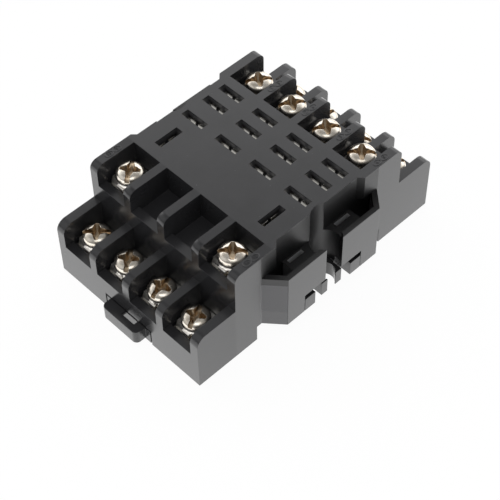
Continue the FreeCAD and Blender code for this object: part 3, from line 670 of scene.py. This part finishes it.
def smoothing_group(degrees):
    """A node group that smooths the shading over gentle edges and keeps sharp ones."""
    group = bpy.data.node_groups.new("smooth_gentle_edges", "GeometryNodeTree")
    for way in ("INPUT", "OUTPUT"):
        group.interface.new_socket("Mesh", in_out=way, socket_type="NodeSocketGeometry")
    start = group.nodes.new("NodeGroupInput")
    stop = group.nodes.new("NodeGroupOutput")
    angle = group.nodes.new("GeometryNodeInputMeshEdgeAngle")
    gentle = group.nodes.new("FunctionNodeCompare")
    gentle.operation = "LESS_THAN"
    gentle.inputs["B"].default_value = math.radians(degrees)
    group.links.new(angle.outputs["Unsigned Angle"], gentle.inputs["A"])
    mesh = start.outputs["Mesh"]
    for domain in ("FACE", "EDGE"):
        smooth = group.nodes.new("GeometryNodeSetShadeSmooth")
        smooth.domain = domain
        if domain == "EDGE":
            group.links.new(gentle.outputs["Result"], smooth.inputs["Shade Smooth"])
        group.links.new(mesh, smooth.inputs["Geometry"])
        mesh = smooth.outputs["Geometry"]
    group.links.new(mesh, stop.inputs["Mesh"])
    return group


gentle_edges = smoothing_group(PLASTIC_SMOOTH)


def soften(node, width, material):
    """Gives a CAD piece its finish and the small rounded edges of the real one."""
    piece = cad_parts[node]
    piece.data.materials.clear()
    piece.data.materials.append(material)
    add_modifier(piece, "WELD", merge_threshold=0.002 * MM)
    add_modifier(piece, "DECIMATE", decimate_type="DISSOLVE", angle_limit=math.radians(1))
    add_modifier(
        piece, "BEVEL", width=width, segments=2, limit_method="ANGLE",
        angle_limit=math.radians(35), use_clamp_overlap=True,
    )
    add_modifier(piece, "NODES", node_group=gentle_edges)
    add_modifier(piece, "WEIGHTED_NORMAL", keep_sharp=True, weight=80)


# How far the edges of each moulding are rounded, and those of the terminal strips.
MOULDINGS = {
    "housing": (0.16 * MM, housing_black),
    "bottom_cover": (0.12 * MM, cover_black),
    "rail_latch": (0.15 * MM, latch_black),
}
STRIP_ROUND = 0.03 * MM


def finish_cad_pieces():
    for node, (width, material) in MOULDINGS.items():
        soften(node, width, material)
    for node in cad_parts:
        if node.startswith("terminal_"):
            soften(node, STRIP_ROUND, contact_plate)
        elif node.startswith("clamp_"):
            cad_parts[node].data.materials.append(washer_nickel)
        elif node.startswith("screw_"):
            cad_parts[node].data.materials.append(screw_nickel)


def make_camera():
    """The camera at the reference view's place and angle."""
    back = Vector((
        math.sin(CAMERA_AZIMUTH) * math.cos(CAMERA_ELEVATION),
        -math.cos(CAMERA_AZIMUTH) * math.cos(CAMERA_ELEVATION),
        math.sin(CAMERA_ELEVATION),
    ))
    level = Vector((math.cos(CAMERA_AZIMUTH), math.sin(CAMERA_AZIMUTH), 0))
    upright = back.cross(level)
    right = math.cos(CAMERA_ROLL) * level + math.sin(CAMERA_ROLL) * upright
    up = math.cos(CAMERA_ROLL) * upright - math.sin(CAMERA_ROLL) * level
    data = bpy.data.cameras.new("camera")
    data.sensor_width = SENSOR_MM
    data.lens = FOCAL_PIXELS / IMAGE_PIXELS * SENSOR_MM
    data.clip_start = 0.01
    data.clip_end = 10
    camera = bpy.data.objects.new("camera", data)
    axes = Matrix((right, up, back)).transposed().to_4x4()
    camera.matrix_world = Matrix.Translation(CAMERA_PLACE) @ axes
    bpy.context.scene.collection.objects.link(camera)
    bpy.context.scene.camera = camera


WHITE = (1, 1, 1, 1)
FLOOR_GREY = (0.86, 0.86, 0.86, 1)
FLOOR_WHITE_SHARE = 0.93
FLOOR_SEEN = 1.03
FLOOR_MIRRORED = 1.5
FLOOR_HALF = 3.0
FLOOR_DROP = 0.05 * MM


def floor_paint():
    """Pale floor: plain white to the camera but for a faint shadow, bright in gloss."""
    paint = Paint(bpy.data.materials.new("pale_floor"))
    lit = paint.node("BsdfDiffuse", inputs={"Color": FLOOR_GREY})
    white = paint.node("Emission", inputs={"Color": WHITE, "Strength": FLOOR_SEEN})
    glare = paint.node("Emission", inputs={"Color": WHITE, "Strength": FLOOR_MIRRORED})
    share = paint.node("LightPath", output="Is Camera Ray") * FLOOR_WHITE_SHARE
    plain = paint.node("MixShader", inputs={0: share, 1: lit, 2: white})
    mirrored = paint.node("LightPath", output="Is Glossy Ray")
    return paint.surface(paint.node("MixShader", inputs={0: mirrored, 1: plain, 2: glare}))


def floor_sheet(bm):
    bmesh.ops.create_grid(bm, x_segments=1, y_segments=1, size=FLOOR_HALF)
    bmesh.ops.translate(bm, verts=bm.verts, vec=(0, 0, -FLOOR_DROP))


def make_floor():
    new_piece("floor", floor_sheet, floor_paint())


KEY_PLACE = Vector((0.14, -0.12, 0.7))
KEY_SIDE = 0.36
KEY_POWER = 0.6


def make_key_lamp():
    """A soft square lamp overhead, a little in front, aimed at the socket."""
    data = bpy.data.lights.new("key", "AREA")
    data.shape = "SQUARE"
    data.size = KEY_SIDE
    data.energy = KEY_POWER
    lamp = bpy.data.objects.new("key", data)
    lamp.location = KEY_PLACE
    lamp.rotation_mode = "QUATERNION"
    lamp.rotation_quaternion = (-KEY_PLACE).to_track_quat("-Z", "Y")
    bpy.context.scene.collection.objects.link(lamp)


# The bright patch stands behind the socket on the left, and fades below and above. A
# weaker one stands in front, and lights the washers' sloping tongues. Each ramp pairs a
# direction's agreement with the patch, or its height, with a brightness.
GLOW_SIDE = (-0.7, 0.714, 0.0)
GLOW_ACROSS = [(0.2, 0.0), (0.45, 1.0)]
GLOW_UP = [(0.05, 0.2), (0.4, 1.0), (0.62, 1.0), (0.7, 0.72), (0.79, 0.12), (0.95, 0.0)]
GLOW_STRENGTH = 1.55
FRONT_SIDE = (-0.47, -0.62, 0.63)
FRONT_NEAR = [(0.86, 0.0), (0.95, 1.0)]
FRONT_STRENGTH = 0.4
ROOM_UP = [(0.0, 0.45), (0.3, 0.3), (0.7, 0.3), (1.0, 0.3)]


def towards(sky, way, side):
    """How far a direction agrees with one side of the room: 1 where it is the same."""
    return sky.node("VectorMath", {"operation": "DOT_PRODUCT"}, {0: way, 1: side}, "Value")


def make_room():
    """Dim walls with a bright patch behind and a weak one in front. The camera sees white."""
    world = bpy.data.worlds.new("studio")
    bpy.context.scene.world = world
    sky = Paint(world)
    way = sky.node("NewGeometry")
    height = sky.part(way, "Z")
    glow = sky.ramp(towards(sky, way, GLOW_SIDE), GLOW_ACROSS) * sky.ramp(height, GLOW_UP)
    front = sky.ramp(towards(sky, way, FRONT_SIDE), FRONT_NEAR) * FRONT_STRENGTH
    shade = sky.ramp(height, ROOM_UP) + glow * GLOW_STRENGTH + front
    room = sky.node("Background", inputs={"Color": WHITE, "Strength": shade})
    white = sky.node("Background", inputs={"Color": WHITE, "Strength": 1.0})
    seen = sky.node("LightPath", output="Is Camera Ray")
    sky.surface(sky.node("MixShader", inputs={0: seen, 1: room, 2: white}), "World")


finish_cad_pieces()
make_screws()
make_washers()
make_numbers()
make_camera()
make_floor()
make_room()
make_key_lamp()
bpy.context.scene.view_settings.view_transform = "Standard"
